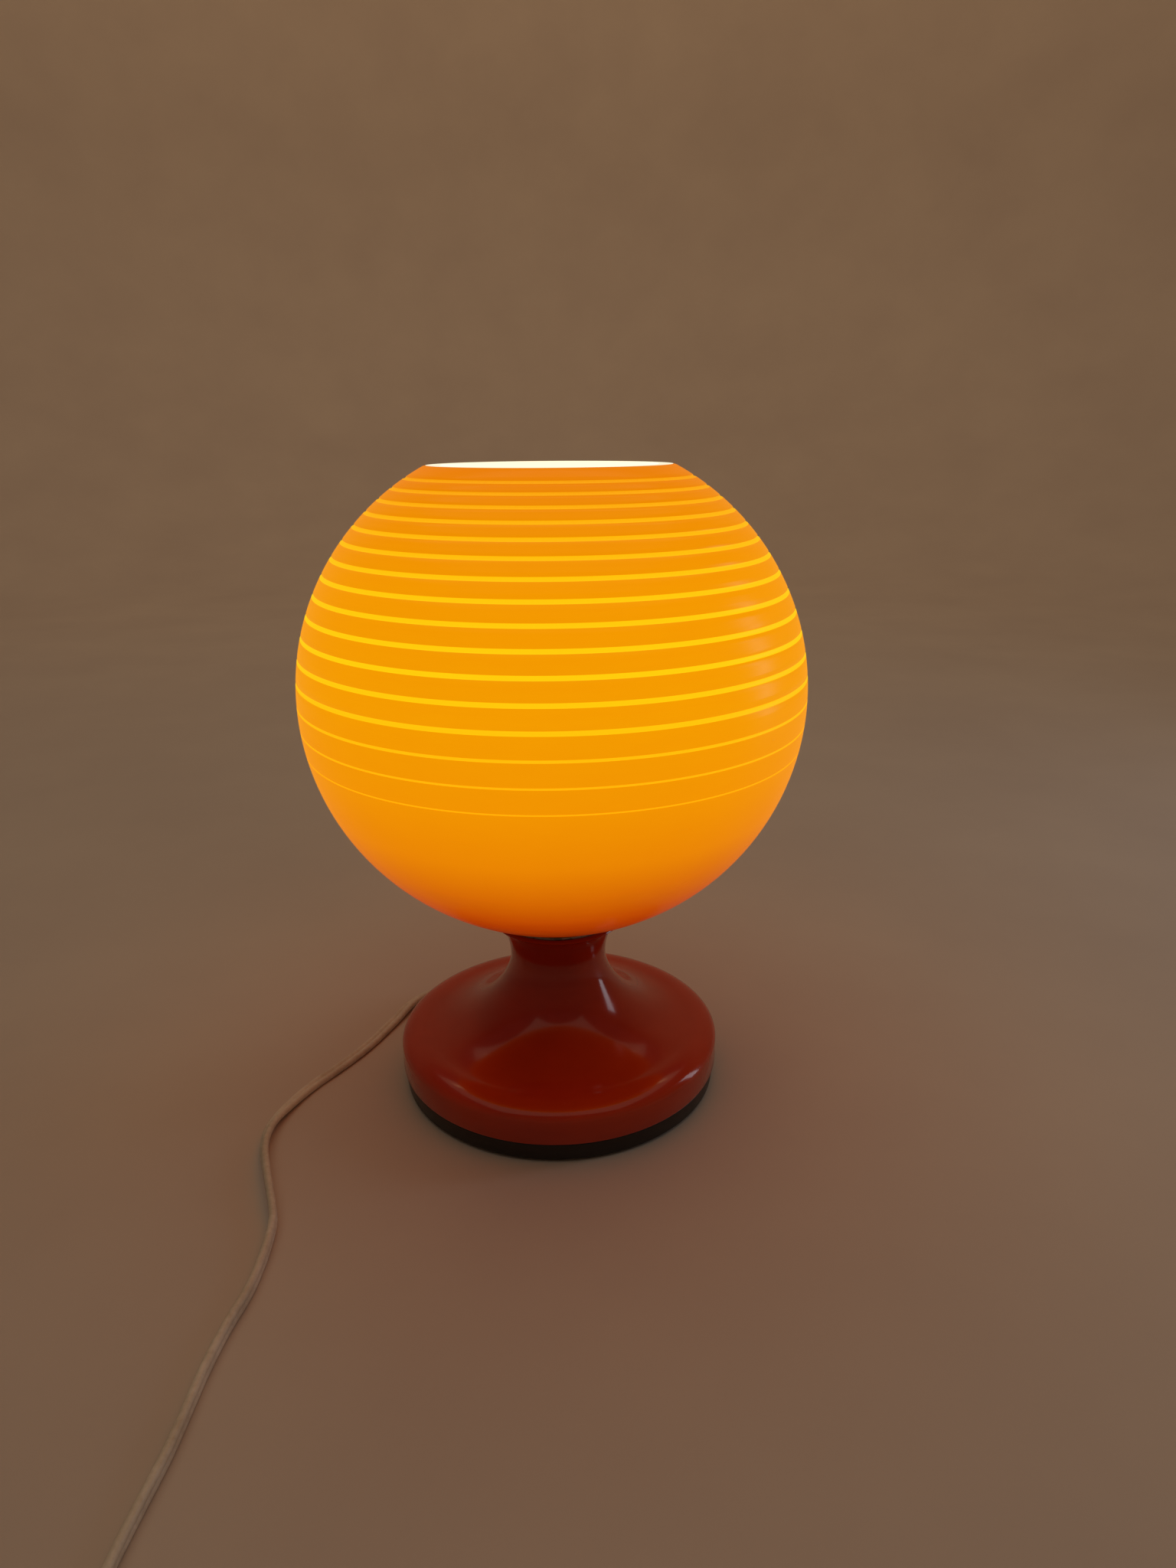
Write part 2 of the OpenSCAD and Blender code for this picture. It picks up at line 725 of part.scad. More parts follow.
shade();
base_body();
foot_ring();
foot_pads();
bottom_plate();
threaded_tube();
tube_washers();
tube_nuts();
seat_disc();
lower_gasket();
upper_gasket();
shade_ring();
holder_cap();
holder_skirt();
holder_insert();
holder_shell();
centre_contact();
terminal_blocks();
terminal_screws();
bulb_glass();
bulb_cap();
bulb_insulator();
bulb_contact();
bulb_stem();
bulb_leads();
bulb_filament();
core_brown();
core_blue();
cord_grip();
grip_screws();
cord_bush();
flex_inside();
flex_lamp_side();
switch_base();
switch_cover();
switch_rocker();
rocker_pin();
switch_contacts();
switch_screws();
flex_plug_side();
flex_coil();
coil_tie();
flex_tail();
plug_body();
plug_pins();
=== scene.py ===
import json
import math

import bmesh
import bpy
from mathutils import Matrix, Vector


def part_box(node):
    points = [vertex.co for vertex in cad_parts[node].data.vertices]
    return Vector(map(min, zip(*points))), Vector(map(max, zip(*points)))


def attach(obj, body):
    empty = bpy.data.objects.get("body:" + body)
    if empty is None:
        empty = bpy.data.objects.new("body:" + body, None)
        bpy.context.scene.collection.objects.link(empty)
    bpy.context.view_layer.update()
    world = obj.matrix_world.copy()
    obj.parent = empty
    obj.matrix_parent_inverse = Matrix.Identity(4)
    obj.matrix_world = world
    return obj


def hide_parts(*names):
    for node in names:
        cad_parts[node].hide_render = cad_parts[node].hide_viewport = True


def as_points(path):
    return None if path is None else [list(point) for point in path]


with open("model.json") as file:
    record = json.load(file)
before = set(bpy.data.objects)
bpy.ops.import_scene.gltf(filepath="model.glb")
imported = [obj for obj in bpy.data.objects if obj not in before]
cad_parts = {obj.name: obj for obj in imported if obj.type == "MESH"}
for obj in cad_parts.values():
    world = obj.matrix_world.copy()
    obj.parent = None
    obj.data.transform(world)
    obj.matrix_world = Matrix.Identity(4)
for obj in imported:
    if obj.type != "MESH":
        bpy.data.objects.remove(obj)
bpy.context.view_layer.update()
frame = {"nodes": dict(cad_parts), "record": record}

# Lengths below are in millimetres and become metres with MM. The two lengths of flex, the lights
# and the scales of the finishes are in metres.
MM = 0.001

# --- the lamp's driving sizes, as the frame has them ---------------------------------------------
SHADE_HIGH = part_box("shade")[1] / MM
GLOBE_R = SHADE_HIGH.x
GLOBE_SQUASH = 0.982
GLOBE_Z = 183.0
GLOBE_WALL = 3.0
MOUTH_R = 49.2
HOLE_R = 21.0
HOLE_LOW_Z = 82.3
HOLE_HIGH_Z = 86.0
LINE_COUNT = 16
LINE_DEPTH = 0.25
LINE_WIDTHS = [1.8] * (LINE_COUNT - 3) + [1.1, 0.8, 0.6]
TOP_LINE_ANGLE = 57.1
LINE_GAP, LINE_GAP_GROWTH = 3.45, 0.07
RIM_EASE = 0.6

DRUM_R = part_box("base_body")[1].x / MM
RING_SEAT_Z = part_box("base_body")[0].z / MM
CUP_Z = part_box("base_body")[1].z / MM
DRUM_TOP_Z = 20.0
CREST_R, CREST_Z = 61.0, 26.0
WAIST_R, WAIST_Z = 21.6, 60.0
CUP_R, CUP_RISE = 30.0, 18.0
FOOT_WALL = 4.0
DISH_POWER = 1.7
CREST_THINNING = 0.4
# The height over which the foot's painted light and shade change.
FOOT_PAINTED_LIGHT_RISE = 80.0

FLEX_W, FLEX_T = 5.4, 3.0
EXIT_TURN = math.radians(125)
EXIT_Z = 4.3

# --- camera --------------------------------------------------------------------------------------
CAMERA_AT = Vector((0, -430.5, 285.5)) * MM
CAMERA_DOWN, CAMERA_YAW, CAMERA_ROLL = (math.radians(a) for a in (18.58, 1.89, -0.39))
CAMERA_LENS = 23.96
NEAREST_SEEN = 10.0

camera = bpy.data.objects.new("camera", bpy.data.cameras.new("camera"))
bpy.context.scene.collection.objects.link(camera)
camera.data.lens = CAMERA_LENS
camera.data.clip_start = NEAREST_SEEN * MM
camera.matrix_world = (Matrix.Translation(CAMERA_AT)
                       @ Matrix.Rotation(-CAMERA_YAW, 4, "Z")
                       @ Matrix.Rotation(math.pi / 2 - CAMERA_DOWN, 4, "X")
                       @ Matrix.Rotation(CAMERA_ROLL, 4, "Z"))
bpy.context.scene.camera = camera
bpy.context.scene.view_settings.view_transform = "Standard"


# --- shader maths --------------------------------------------------------------------------------
class Wire:
    """A value that leaves a shader node. Python's own signs add the Math nodes."""

    def __init__(self, finish, socket):
        self.finish, self.socket = finish, socket

    def maths(self, operation, *values):
        inputs = dict(enumerate(values))
        return self.finish.node("ShaderNodeMath", {"operation": operation}, inputs)

    def __add__(self, other):
        return self.maths("ADD", self, other)

    def __sub__(self, other):
        return self.maths("SUBTRACT", self, other)

    def __rsub__(self, other):
        return self.maths("SUBTRACT", other, self)

    def __mul__(self, other):
        return self.maths("MULTIPLY", self, other)

    def __truediv__(self, other):
        return self.maths("DIVIDE", self, other)

    def over(self, other):
        return self.maths("GREATER_THAN", self, other)

    def clamp(self):
        return self.finish.node("ShaderNodeClamp", {}, {"Value": self})

    __radd__, __rmul__ = __add__, __mul__


class Finish:
    """A material. Constants go on the shader's own sockets, and wires only where a surface varies."""

    def __init__(self, name, **constants):
        self.material = bpy.data.materials.new(name)
        self.material.use_nodes = True
        self.tree = self.material.node_tree
        self.shader = self.tree.nodes["Principled BSDF"]
        self.feed(**constants)

    def feed(self, **inputs):
        for label, value in inputs.items():
            self.join(self.shader.inputs[label.replace("_", " ")], value)
        return self

    def join(self, socket, value):
        if isinstance(value, Wire):
            self.tree.links.new(value.socket, socket)
        elif socket.type == "RGBA" and len(value) == 3:
            socket.default_value = (*value, 1)
        else:
            socket.default_value = value

    def node(self, kind, settings, inputs, output=0):
        made = self.tree.nodes.new(kind)
        for label, value in settings.items():
            if label == "stops":
                self.set_stops(made.color_ramp, value)
            else:
                setattr(made, label, value)
        for label, value in inputs.items():
            self.join(made.inputs[label], value)
        return Wire(self, made.outputs[output])

    def set_stops(self, ramp, stops):
        while len(ramp.elements) < len(stops):
            ramp.elements.new(1)
        for element, (place, colour) in zip(ramp.elements, stops):
            element.position = place
            element.color = (*colour, 1)

    def ramp(self, value, *stops):
        return self.node("ShaderNodeValToRGB", {"stops": stops}, {"Fac": value})

    def point(self):
        return self.node("ShaderNodeTexCoord", {}, {}, "Object")

    def axis(self, letter):
        return self.node("ShaderNodeSeparateXYZ", {}, {"Vector": self.point()}, letter.upper())

    def noise(self, scale, detail=3.0, stretch=(1, 1, 1), roughness=0.55):
        """Noise over the object, scale in bumps a metre, drawn out by a smaller stretch."""
        place = self.node("ShaderNodeMapping", {}, {"Vector": self.point(), "Scale": stretch})
        return self.node("ShaderNodeTexNoise", {},
                         {"Vector": place, "Scale": scale, "Detail": detail, "Roughness": roughness})

    def mix(self, share, first, second):
        settings = {"data_type": "RGBA"}
        return self.node("ShaderNodeMix", settings, {"Factor": share, 6: first, 7: second}, 2)

    def bump(self, height, depth, strength=1.0):
        """depth is the height of the relief in millimetres."""
        normal = self.node("ShaderNodeBump", {},
                           {"Height": height, "Distance": depth * MM, "Strength": strength}, "Normal")
        return self.feed(Normal=normal)


def srgb(red, green, blue):
    """A colour as a screen shows it, 0 to 255, as the linear numbers that a shader takes."""
    return tuple(c / 12.92 if c <= 0.04045 else ((c + 0.055) / 1.055) ** 2.4
                 for c in (red / 255, green / 255, blue / 255))


# --- finishes: glass -----------------------------------------------------------------------------
def height_share(finish, low=80.0, high=280.0):
    """How far up between two levels a point is, 0 to 1. The levels given are the shade's."""
    return (finish.axis("z") - low * MM) / ((high - low) * MM)


def amber_glass():
    """Amber glass cased over opal, lit from inside: its glow is painted by height, dull red by the
    lampholder where the holder shades the bulb's light, orange above and a little darker again towards the
    mouth.
    """
    finish = Finish("amber_glass", IOR=1.5, Specular_IOR_Level=0.1, Emission_Strength=0.97)
    height = height_share(finish)
    cloud = finish.noise(14, detail=4)
    streak = finish.noise(60, detail=2, stretch=(1, 1, 6))
    # Painted light and shade in the glow: dull red low down where the lampholder shades the bulb, orange
    # above.
    light = finish.ramp(
        height + (cloud - 0.5) * 0.02,
        (0.03, srgb(70, 5, 2)), (0.08, srgb(112, 20, 1)), (0.12, srgb(158, 44, 0)),
        (0.16, srgb(182, 68, 1)), (0.24, srgb(212, 108, 0)), (0.31, srgb(231, 133, 0)),
        (0.42, srgb(240, 149, 0)), (0.58, srgb(243, 158, 0)), (0.78, srgb(241, 154, 0)),
        (0.9, srgb(234, 142, 0)), (0.97, srgb(227, 124, 0)))
    thin = finish.mix(streak * 0.12, light, srgb(228, 120, 0))
    tint = finish.ramp(cloud, (0.3, (0.34, 0.07, 0.001)), (0.7, (0.44, 0.11, 0.002)))
    finish.feed(Base_Color=tint, Emission_Color=thin, Roughness=streak * 0.1 + 0.2)
    return finish.bump(finish.noise(16, detail=1) * 0.9 + finish.noise(240) * 0.04, 0.25, 0.3).material


def cut_line():
    """The ground lines, where the amber casing is cut through and the lit opal shows."""
    finish = Finish("cut_line", IOR=1.5, Specular_IOR_Level=0.1, Emission_Strength=0.98)
    height = height_share(finish)
    grain = finish.noise(700, detail=4)
    light = finish.ramp(
        height, (0.4, srgb(245, 166, 8)), (0.47, srgb(249, 178, 10)), (0.57, srgb(253, 198, 10)),
        (0.66, srgb(254, 207, 11)), (0.78, srgb(253, 200, 11)), (0.88, srgb(247, 178, 10)),
        (0.96, srgb(235, 150, 10)))
    finish.feed(Base_Color=finish.ramp(grain, (0.3, (0.5, 0.22, 0.005)), (0.7, (0.6, 0.28, 0.01))),
                Emission_Color=finish.mix(grain * 0.25, light, srgb(240, 165, 6)),
                Roughness=grain * 0.2 + 0.3)
    return finish.bump(grain, 0.03).material


def opal_inside():
    """The white opal layer inside the shade and on its ground rim, brightest round the bulb."""
    finish = Finish("opal_inside", IOR=1.5, Emission_Strength=0.85)
    height = height_share(finish)
    cloud = finish.noise(9, detail=2)
    light = finish.ramp(
        height + (cloud - 0.5) * 0.03, (0.03, (0.12, 0.04, 0.005)), (0.18, (0.36, 0.17, 0.04)),
        (0.45, (0.70, 0.46, 0.18)), (0.72, (0.95, 0.70, 0.34)), (0.94, (1.0, 0.98, 0.74)))
    finish.feed(Base_Color=finish.ramp(cloud, (0.3, (0.50, 0.42, 0.29)), (0.7, (0.54, 0.46, 0.33))),
                Emission_Color=light, Roughness=cloud * 0.15 + 0.2)
    return finish.bump(finish.noise(260, detail=2), 0.02, 0.4).material


def coral_glass():
    """Opaque coral glass under a thin clear gloss, with painted light and shade: darker low on the drum,
    brightest at the shoulder under the lit globe, and painted shade darker up the neck under the globe.
    """
    finish = Finish("coral_glass", IOR=1.5, Coat_Weight=0.12, Coat_Roughness=0.02)
    cloud = finish.noise(20, detail=5)
    swirl = finish.noise(34, detail=3, stretch=(1, 1, 4))
    seed = finish.noise(900, detail=1)
    tint = finish.ramp(
        cloud * 0.6 + swirl * 0.4, (0.32, (0.36, 0.020, 0.003)), (0.5, (0.50, 0.034, 0.004)),
        (0.68, (0.60, 0.050, 0.006)))
    # Painted light and shade by height: dark on the drum's wall, a painted highlight at the shoulder,
    # painted shade up the neck.
    painted_light_by_height = finish.ramp(
        finish.axis("z") / (FOOT_PAINTED_LIGHT_RISE * MM), (0.1, (0.42, 0.024, 0.003)), (0.32, (0.60, 0.044, 0.005)),
        (0.9, (0.34, 0.016, 0.003)))
    finish.feed(Base_Color=finish.mix(0.5, tint, painted_light_by_height), Roughness=swirl * 0.1 + 0.08)
    return finish.bump(cloud * 0.8 + finish.noise(130) * 0.05 + seed * 0.02, 0.2, 0.3).material


def lit_bulb_glass():
    """Pearl bulb glass, brightest at the widest part, where the filament is."""
    finish = Finish("bulb_glass", IOR=1.5, Emission_Strength=1.2)
    frost = finish.noise(500, detail=5)
    height = height_share(finish, 115.0, 215.0)
    light = finish.ramp(
        height, (0.02, (0.75, 0.38, 0.12)), (0.35, (1.0, 0.74, 0.4)), (0.62, (1.0, 0.9, 0.66)),
        (0.98, (1.0, 0.8, 0.5)))
    finish.feed(Base_Color=finish.ramp(frost, (0.3, (0.8, 0.76, 0.68)), (0.7, (0.9, 0.87, 0.8))),
                Emission_Color=light, Roughness=frost * 0.2 + 0.2)
    return finish.bump(frost, 0.02).material


def small_glass(name, dark, pale):
    """Pressed or drawn glass of the bulb's small parts."""
    finish = Finish(name, IOR=1.5, Coat_Weight=0.5)
    cloud = finish.noise(300)
    finish.feed(Base_Color=finish.ramp(cloud, (0.35, dark), (0.65, pale)), Roughness=cloud * 0.15 + 0.05)
    return finish.bump(cloud, 0.05, 0.5).material


# --- finishes: plastics and rubber ---------------------------------------------------------------
def moulded(name, dark, pale, gloss, grain=1200, relief=0.02, dust=(0.5, 0.47, 0.42)):
    """Moulded plastic or rubber: a fine die grain, soft flow marks, rubbed patches and a little dust."""
    finish = Finish(name, IOR=1.5)
    flow = finish.noise(70, detail=4, stretch=(1, 1, 3))
    die = finish.noise(grain, detail=4, roughness=0.7)
    rub = finish.noise(160, detail=6)
    tint = finish.ramp(flow * 0.7 + die * 0.3, (0.35, dark), (0.65, pale))
    specks = rub.over(0.66) * 0.25
    finish.feed(Base_Color=finish.mix(specks, tint, dust), Roughness=(rub * 0.24 + (gloss - 0.12)).clamp())
    return finish.bump(die * 0.7 + rub * 0.3, relief).material


def drawn_pvc(name, dark, pale):
    """Extruded flex: slightly waxy, with scuffs and patches of soil at random over it."""
    finish = Finish(name, IOR=1.46, Coat_Weight=0.15, Coat_Roughness=0.3)
    scuff = finish.noise(420, detail=5, roughness=0.65)
    soil = finish.noise(38, detail=5)
    tint = finish.ramp(scuff * 0.4 + soil * 0.6, (0.36, dark), (0.6, pale))
    finish.feed(Base_Color=tint, Roughness=scuff * 0.25 + 0.32)
    return finish.bump(scuff, 0.03).material


# --- finishes: metals ----------------------------------------------------------------------------
def plated(name, dark, pale, roughness, spangle=0.0, stain=(0.12, 0.09, 0.06)):
    """Plated or plain metal with drawing marks, stains and, on zinc, crystals."""
    finish = Finish(name, Metallic=1.0)
    marks = finish.noise(900, detail=3, stretch=(1, 1, 0.15))
    cloud = finish.noise(120, detail=5)
    crystal = finish.node("ShaderNodeTexVoronoi", {}, {"Vector": finish.point(), "Scale": 260.0}, "Color")
    facet = finish.node("ShaderNodeSeparateColor", {}, {"Color": crystal})
    shade_of = cloud * (0.7 - spangle * 0.5) + marks * 0.3 + facet * (spangle * 0.5)
    tint = finish.ramp(shade_of, (0.3, dark), (0.65, pale))
    finish.feed(Base_Color=finish.mix(cloud.over(0.64) * 0.3, tint, stain),
                Roughness=(marks * 0.2 + facet * (spangle * 0.15) + (roughness - 0.1)).clamp())
    return finish.bump(marks * 0.6 + cloud * 0.4, 0.02).material


FINISHES = {
    "amber_glass": amber_glass(),
    "coral_glass": coral_glass(),
    "bulb_glass": lit_bulb_glass(),
    "black_glass": small_glass("black_glass", (0.012, 0.012, 0.018), (0.03, 0.03, 0.04)),
    "stem_glass": small_glass("stem_glass", (0.6, 0.66, 0.66), (0.8, 0.85, 0.84)),
    "black_plastic": moulded("black_plastic", (0.004, 0.004, 0.004), (0.011, 0.011, 0.01), 0.4,
                             dust=(0.04, 0.037, 0.034)),
    "rubber": moulded("rubber", (0.07, 0.07, 0.07), (0.13, 0.13, 0.125), 0.78, grain=800, relief=0.05),
    "ivory_plastic": moulded("ivory_plastic", (0.66, 0.58, 0.42), (0.8, 0.73, 0.57), 0.36),
    "white_plastic": moulded("white_plastic", (0.66, 0.63, 0.56), (0.8, 0.78, 0.72), 0.34),
    "grey_plastic": moulded("grey_plastic", (0.32, 0.32, 0.31), (0.42, 0.42, 0.4), 0.36),
    "porcelain": moulded("porcelain", (0.76, 0.74, 0.68), (0.86, 0.85, 0.8), 0.2, grain=500),
    "brown_pvc": drawn_pvc("brown_pvc", (0.12, 0.045, 0.02), (0.19, 0.08, 0.035)),
    "blue_pvc": drawn_pvc("blue_pvc", (0.02, 0.09, 0.32), (0.04, 0.15, 0.46)),
    "white_pvc": drawn_pvc("white_pvc", (0.55, 0.5, 0.41), (0.76, 0.73, 0.66)),
    "zinc_steel": plated("zinc_steel", (0.22, 0.22, 0.21), (0.44, 0.44, 0.42), 0.46, spangle=0.8),
    "brass": plated("brass", (0.5, 0.32, 0.1), (0.78, 0.56, 0.22), 0.3, stain=(0.2, 0.11, 0.04)),
    "nickel": plated("nickel", (0.6, 0.57, 0.51), (0.76, 0.73, 0.68), 0.2),
    "tungsten": plated("tungsten", (0.2, 0.19, 0.17), (0.4, 0.38, 0.35), 0.5),
}
SLOT_OF = {part["node"]: part["material_slot"] for part in frame["record"]["subparts"]}
BODY_OF = {node: body for body, nodes in frame["record"]["behaviour"]["bodies"].items() for node in nodes}


# --- modelling helpers ---------------------------------------------------------------------------
SAME_POINT_TURNED, SAME_POINT_CAD = 0.004, 0.002
FLAT_WITHIN = math.radians(0.4)
SHARP_FROM = math.radians(40)
EASED_FROM = math.radians(50)


def alone(piece):
    """Selects one piece and nothing else."""
    bpy.ops.object.select_all(action="DESELECT")
    piece.select_set(True)
    bpy.context.view_layer.objects.active = piece


def named(piece, name):
    """Gives the piece and its mesh one name."""
    piece.name = piece.data.name = name
    return piece


def stands_for(piece, *nodes):
    """The piece takes the place, the body and the finish of these CAD nodes."""
    slot = SLOT_OF[nodes[0]]
    piece.data.materials.clear()
    piece.data.materials.append(FINISHES[slot])
    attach(piece, BODY_OF[nodes[0]])
    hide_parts(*nodes)
    return piece


def smooth_curves(piece, angle=35):
    """Shades smooth all but the edges that turn by more than the angle."""
    alone(piece)
    bpy.ops.object.shade_smooth_by_angle(angle=math.radians(angle))
    return piece


def turned(name, outline, steps=144, angle=35):
    """A round piece: a point is drawn along the outline, (radius, height) pairs, and spun about Z."""
    bpy.ops.object.select_all(action="DESELECT")
    radius, height = outline[0]
    bpy.ops.mesh.primitive_plane_add(size=MM, location=(radius * MM, 0, height * MM))
    piece = named(bpy.context.object, name)
    bpy.ops.object.transform_apply(location=True, rotation=True, scale=True)
    bpy.ops.object.mode_set(mode="EDIT")
    bpy.ops.mesh.select_mode(type="VERT")
    bpy.ops.mesh.merge(type="CENTER")
    for (r, z), (next_r, next_z) in zip(outline, outline[1:]):
        step = ((next_r - r) * MM, 0, (next_z - z) * MM)
        bpy.ops.mesh.extrude_vertices_move(TRANSFORM_OT_translate={"value": step})
    bpy.ops.mesh.select_all(action="SELECT")
    bpy.ops.mesh.spin(steps=steps, angle=2 * math.pi, center=(0, 0, 0), axis=(0, 0, 1))
    bpy.ops.mesh.select_all(action="SELECT")
    bpy.ops.mesh.remove_doubles(threshold=SAME_POINT_TURNED * MM)
    bpy.ops.mesh.normals_make_consistent(inside=False)
    bpy.ops.object.mode_set(mode="OBJECT")
    return smooth_curves(piece, angle)


def round_edges(piece, chosen, width, segments=3):
    """Rounds the sharp edges whose middle, in millimetres, is chosen."""
    alone(piece)
    bpy.ops.object.mode_set(mode="EDIT")
    bpy.ops.mesh.select_mode(type="EDGE")
    bpy.ops.mesh.select_all(action="DESELECT")
    bpy.ops.mesh.edges_select_sharp(sharpness=SHARP_FROM)
    bpy.ops.object.mode_set(mode="OBJECT")
    vertices = piece.data.vertices
    for edge in piece.data.edges:
        ends = [vertices[i].co / MM for i in edge.vertices]
        edge.select = edge.select and chosen((ends[0] + ends[1]) / 2)
    bpy.ops.object.mode_set(mode="EDIT")
    bpy.ops.mesh.bevel(offset=width * MM, segments=segments, profile=0.5, clamp_overlap=True)
    bpy.ops.object.mode_set(mode="OBJECT")
    return piece


def dressed(node, soft_edge=0.2, rounding=(), angle=35, segments=2):
    """A copy of a CAD node with its triangles merged, its edges eased and its curves shaded smooth."""
    piece = bpy.data.objects.new(node, frame["nodes"][node].data.copy())
    named(piece, node + "_finished")
    bpy.context.scene.collection.objects.link(piece)
    alone(piece)
    bpy.ops.mesh.customdata_custom_splitnormals_clear()
    bpy.ops.object.mode_set(mode="EDIT")
    bpy.ops.mesh.select_all(action="SELECT")
    bpy.ops.mesh.remove_doubles(threshold=SAME_POINT_CAD * MM)
    bpy.ops.mesh.dissolve_limited(angle_limit=FLAT_WITHIN)
    bpy.ops.object.mode_set(mode="OBJECT")
    for chosen, width in rounding:
        round_edges(piece, chosen, width)
    if soft_edge:
        ease = piece.modifiers.new("ease", "BEVEL")
        ease.width = soft_edge * MM
        ease.segments = segments
        ease.limit_method = "ANGLE"
        ease.angle_limit = EASED_FROM
        bpy.ops.object.modifier_apply(modifier="ease")
    return stands_for(smooth_curves(piece, angle), node)


# --- the flex ------------------------------------------------------------------------------------
# A stop is (x, y, z, turn). The turn is the twist in degrees: 0 lies flat, 90 stands on edge.
def along(distance, z):
    """A point so far from the lamp's axis, on the side of the flex outlet."""
    return (distance * math.cos(EXIT_TURN), distance * math.sin(EXIT_TURN), z)


LAMP_ROUTE = [
    (*along(57, EXIT_Z), 0), (*along(71, EXIT_Z), 0), (-52.5, 66.5, 4, 15), (-67, 65, 3.4, 30),
    (-77, 55, 2.7, 20), (-85, 37, 1.8, 0), (-94, 17, 1.5, 0), (-104, 0, 1.5, 0),
    (-114, -15, 1.5, 0), (-121, -30, 2, 15), (-125, -45, 3.2, 40), (-124, -61, 4.6, 65),
    (-119, -77, 5.4, 85), (-114, -91, 5, 90), (-110, -103, 4, 90), (-109, -113, 3.2, 90),
    (-109, -124, 2.7, 90), (-110, -138, 2.7, 90), (-113, -153, 2.7, 90), (-115, -168, 2.7, 90),
    (-116, -183, 2.7, 90), (-117, -198, 2.7, 90), (-119, -213, 2.7, 90), (-121, -229, 2.7, 85),
    (-122, -244, 2.5, 60), (-119, -257, 2.1, 40), (-111, -269, 2.2, 20), (-100, -277, 3.2, 10),
    (-90, -280.5, 5.2, 0), (-81, -281, 6, 0), (-68, -281, 6, 0),
]
PLUG_SIDE_ROUTE = [
    (-26, -281, 6, 0), (-14, -281, 6, 0), (-5, -280.5, 5, 10), (6, -278.5, 3.2, 50),
    (18, -276, 2.7, 90), (30, -274.4, 2.7, 90),
]
TAIL_ROUTE = [
    (30, -349.6, 8.4, 90), (20, -349.2, 8.2, 80), (10, -347.4, 7.6, 50), (1, -345, 7, 15),
    (-8, -344, 6.9, 0),
]
COIL_LOW, COIL_HIGH = (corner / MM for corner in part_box("flex_coil"))
COIL_CENTRE = (COIL_LOW + COIL_HIGH) / 2
COIL_TURNS = 5.5
STOPS_A_TURN = 20
COIL_OUTER_R, COIL_INNER_R = 37.6, 26.4
COIL_LOW_Z, COIL_HIGH_Z = 2.7, 8.4


def coil_stops():
    """The wound length: inwards on the lower layer, up, and outwards again on the upper one."""
    stops = []
    for i in range(1, round(COIL_TURNS * STOPS_A_TURN)):
        done = i / STOPS_A_TURN
        outwards = abs(2 * done / COIL_TURNS - 1)
        radius = COIL_INNER_R + (COIL_OUTER_R - COIL_INNER_R) * outwards
        climb = min(1, max(0, 2 * (done - COIL_TURNS / 2) + 0.5))
        z = COIL_LOW_Z + (COIL_HIGH_Z - COIL_LOW_Z) * climb * climb * (3 - 2 * climb)
        angle = math.radians(90 - 360 * done)
        x = COIL_CENTRE.x + radius * math.cos(angle)
        y = COIL_CENTRE.y + radius * math.sin(angle)
        stops.append((x, y, z, 90))
    return stops


def drawn_through(stops, steps=4):
    """A smooth curve through the stops, as Vectors of x, y, z and turn."""
    stops = [Vector(stop) for stop in stops]
    padded = [stops[0], *stops, stops[-1]]
    curve = []
    for a, b, c, d in zip(padded, padded[1:], padded[2:], padded[3:]):
        for k in range(steps):
            u = k / steps
            bend = (2 * a - 5 * b + 4 * c - d) * u ** 2 + (3 * b - a - 3 * c + d) * u ** 3
            curve.append(0.5 * (2 * b + (c - a) * u + bend))
    return curve + [stops[-1]]


def flex_outline():
    """Two round cores side by side, with the fold between them."""
    core_r = FLEX_T / 2
    core_x = (FLEX_W - FLEX_T) / 2
    fold = math.degrees(math.acos(-core_x / core_r))
    turns = [math.radians(fold * (k / 5 - 1)) for k in range(10)]
    return [(side * (core_x + core_r * math.cos(a)), side * core_r * math.sin(a))
            for side in (1, -1) for a in turns]


def flex(name, stops):
    """The flex as a tube of rings along its stops. Returns the piece and the points that it follows."""
    curve = drawn_through(stops)
    mesh = bmesh.new()
    rings = []
    for i, stop in enumerate(curve):
        ahead = (curve[min(i + 1, len(curve) - 1)] - curve[max(i - 1, 0)]).xyz.normalized()
        side = Vector((0, 0, 1)).cross(ahead).normalized()
        over = ahead.cross(side)
        twist = math.radians(stop.w)
        wide = side * math.cos(twist) + over * math.sin(twist)
        thin = over * math.cos(twist) - side * math.sin(twist)
        rings.append([mesh.verts.new((stop.xyz + wide * x + thin * y) * MM) for x, y in flex_outline()])
    for ring, following in zip(rings, rings[1:]):
        for k in range(len(ring)):
            mesh.faces.new((ring[k - 1], ring[k], following[k], following[k - 1]))
    mesh.faces.new(rings[0][::-1])
    mesh.faces.new(rings[-1])
    bmesh.ops.recalc_face_normals(mesh, faces=mesh.faces)
    piece = bpy.data.objects.new(name, bpy.data.meshes.new(name))
    mesh.to_mesh(piece.data)
    mesh.free()
    bpy.context.scene.collection.objects.link(piece)
    return smooth_curves(piece, 60), [tuple(stop.xyz * MM) for stop in curve]


